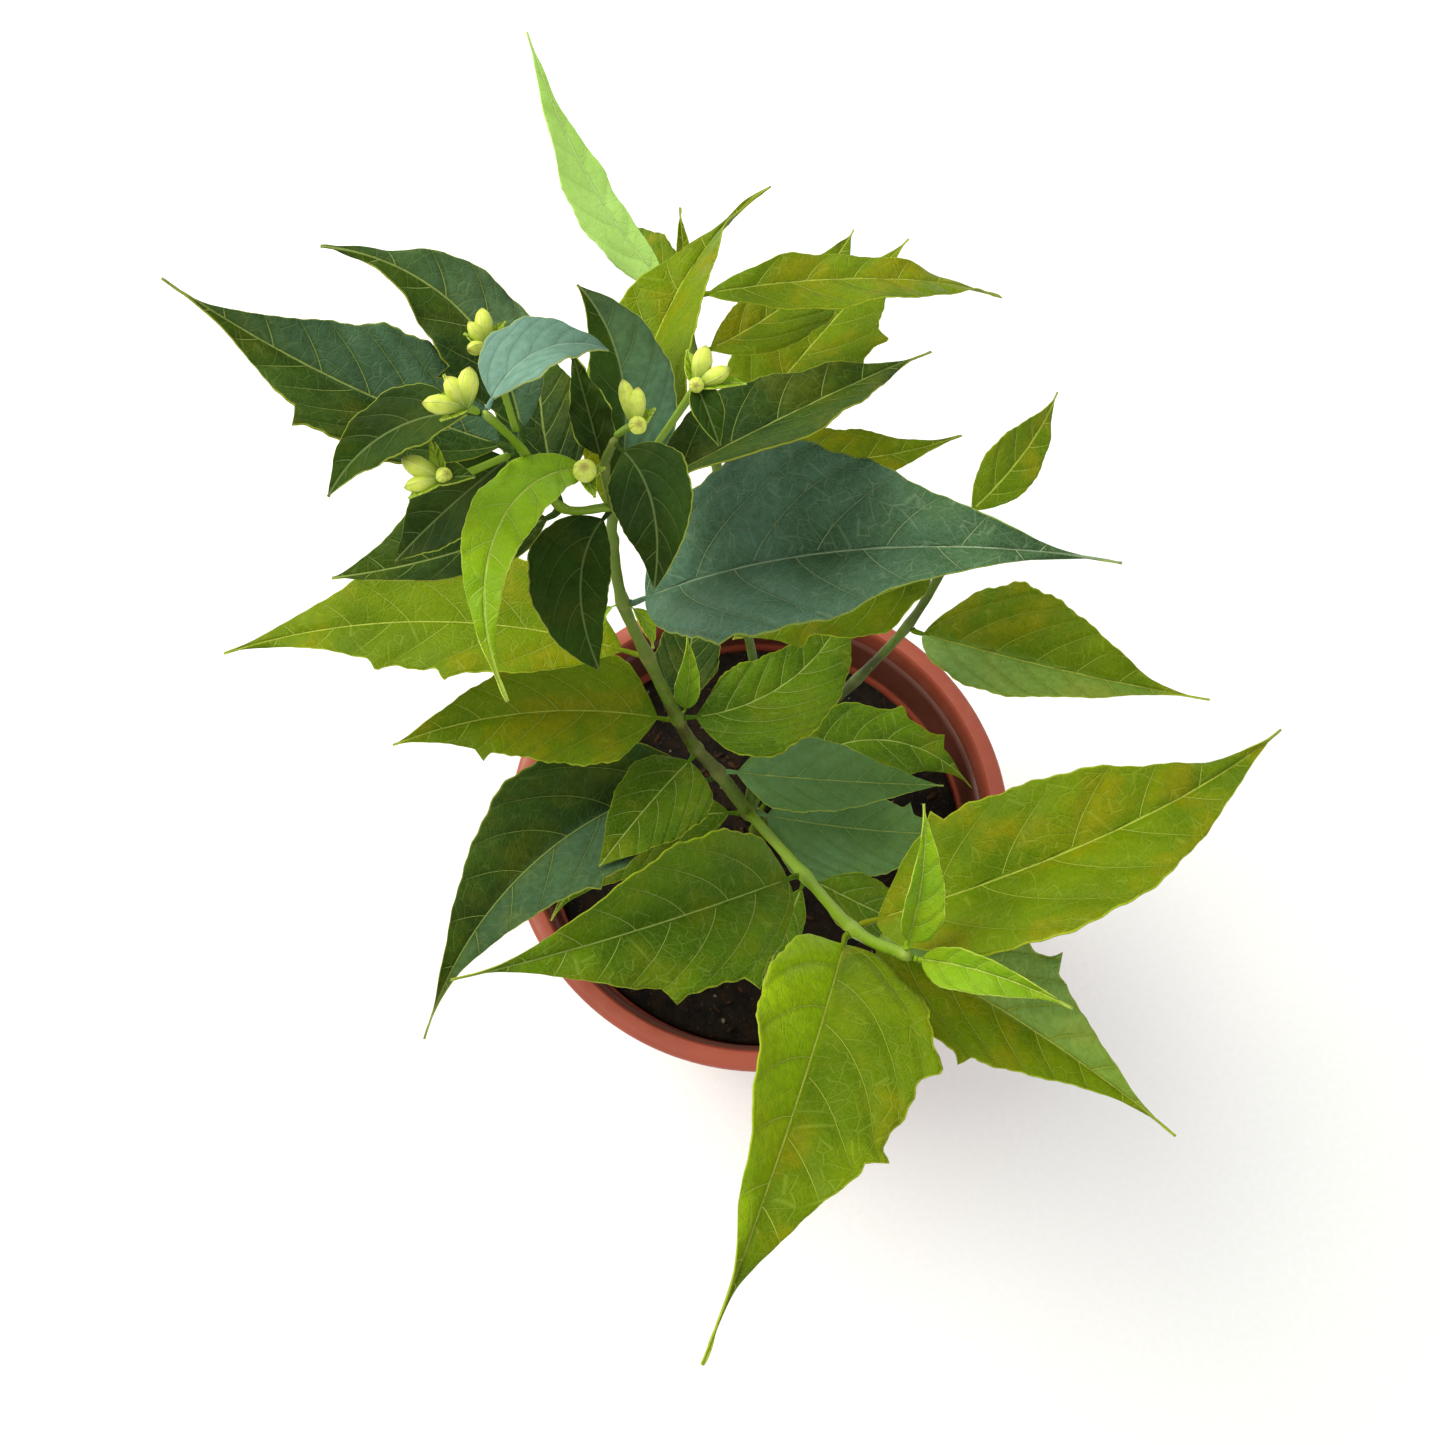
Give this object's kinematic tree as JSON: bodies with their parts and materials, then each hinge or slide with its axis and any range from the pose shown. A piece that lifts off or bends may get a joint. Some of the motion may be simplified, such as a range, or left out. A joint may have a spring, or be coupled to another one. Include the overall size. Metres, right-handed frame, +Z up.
{
  "type": "potted plant",
  "caption": "Young shrub with pointed, toothed green leaves and pale flower buds, growing in a round terracotta-coloured plastic nursery pot.",
  "frame": {"origin": "middle of the pot's foot, on the surface it stands on", "axes": "+Z up along the pot's axis; +X to the plant's right and +Y to its back, seen from the side where the lower flowerless branch leans out"},
  "size_m": [0.3034, 0.3348, 0.4755],
  "materials": {
    "pot_plastic": "satin terracotta-coloured plastic",
    "soil": "dark damp potting soil with bark and grit",
    "woody_stem": "young brown-green bark",
    "green_stem": "soft green shoot",
    "leaf_dark": "mature leaf, satin with pale veins",
    "leaf_mid": "mid-green leaf, satin",
    "leaf_fresh": "young yellow-green leaf, slightly glossy",
    "calyx": "matt pale yellow-green buds and bracts"
  },
  "bodies": {
    "root": {"pot": "pot_plastic", "soil": "soil", "stem_main": "woody_stem", "stem_front": "green_stem", "stem_right": "green_stem", "stem_back": "green_stem", "stem_left": "green_stem", "leaf_left_1": "leaf_dark", "leaf_left_2": "leaf_dark", "leaf_left_3": "leaf_dark", "leaf_left_4": "leaf_dark", "leaf_left_5": "leaf_dark", "leaf_left_6": "leaf_dark", "leaf_left_7": "leaf_dark", "leaf_arched": "leaf_fresh", "leaf_crown_1": "leaf_dark", "leaf_crown_2": "leaf_dark", "leaf_crown_3": "leaf_fresh", "leaf_crown_4": "leaf_dark", "leaf_crown_6": "leaf_dark", "leaf_crown_7": "leaf_fresh", "leaf_broad": "leaf_dark", "leaf_back_1": "leaf_fresh", "leaf_back_2": "leaf_fresh", "leaf_back_3": "leaf_fresh", "leaf_back_4": "leaf_fresh", "leaf_back_5": "leaf_fresh", "leaf_back_6": "leaf_fresh", "leaf_back_7": "leaf_fresh", "leaf_right_2": "leaf_fresh", "leaf_right_3": "leaf_fresh", "leaf_right_4": "leaf_fresh", "leaf_right_5": "leaf_fresh", "leaf_mid_1": "leaf_mid", "leaf_mid_2": "leaf_fresh", "leaf_mid_3": "leaf_mid", "leaf_mid_4": "leaf_mid", "leaf_mid_5": "leaf_mid", "leaf_mid_6": "leaf_mid", "leaf_low_1": "leaf_mid", "leaf_low_2": "leaf_mid", "leaf_low_3": "leaf_mid", "leaf_low_4": "leaf_mid", "leaf_low_5": "leaf_mid", "leaf_low_6": "leaf_mid", "leaf_low_7": "leaf_mid", "leaf_front_1": "leaf_fresh", "leaf_front_2": "leaf_fresh", "leaf_front_3": "leaf_fresh", "leaf_front_4": "leaf_fresh", "leaf_front_5": "leaf_fresh", "leaf_front_6": "leaf_fresh", "leaf_front_7": "leaf_fresh", "leaf_front_8": "leaf_fresh", "buds_left_upper": "calyx", "buds_left_middle": "calyx", "buds_left_lower": "calyx", "buds_centre": "calyx", "bud_round": "calyx", "buds_right": "calyx"}
  },
  "joints": []
}
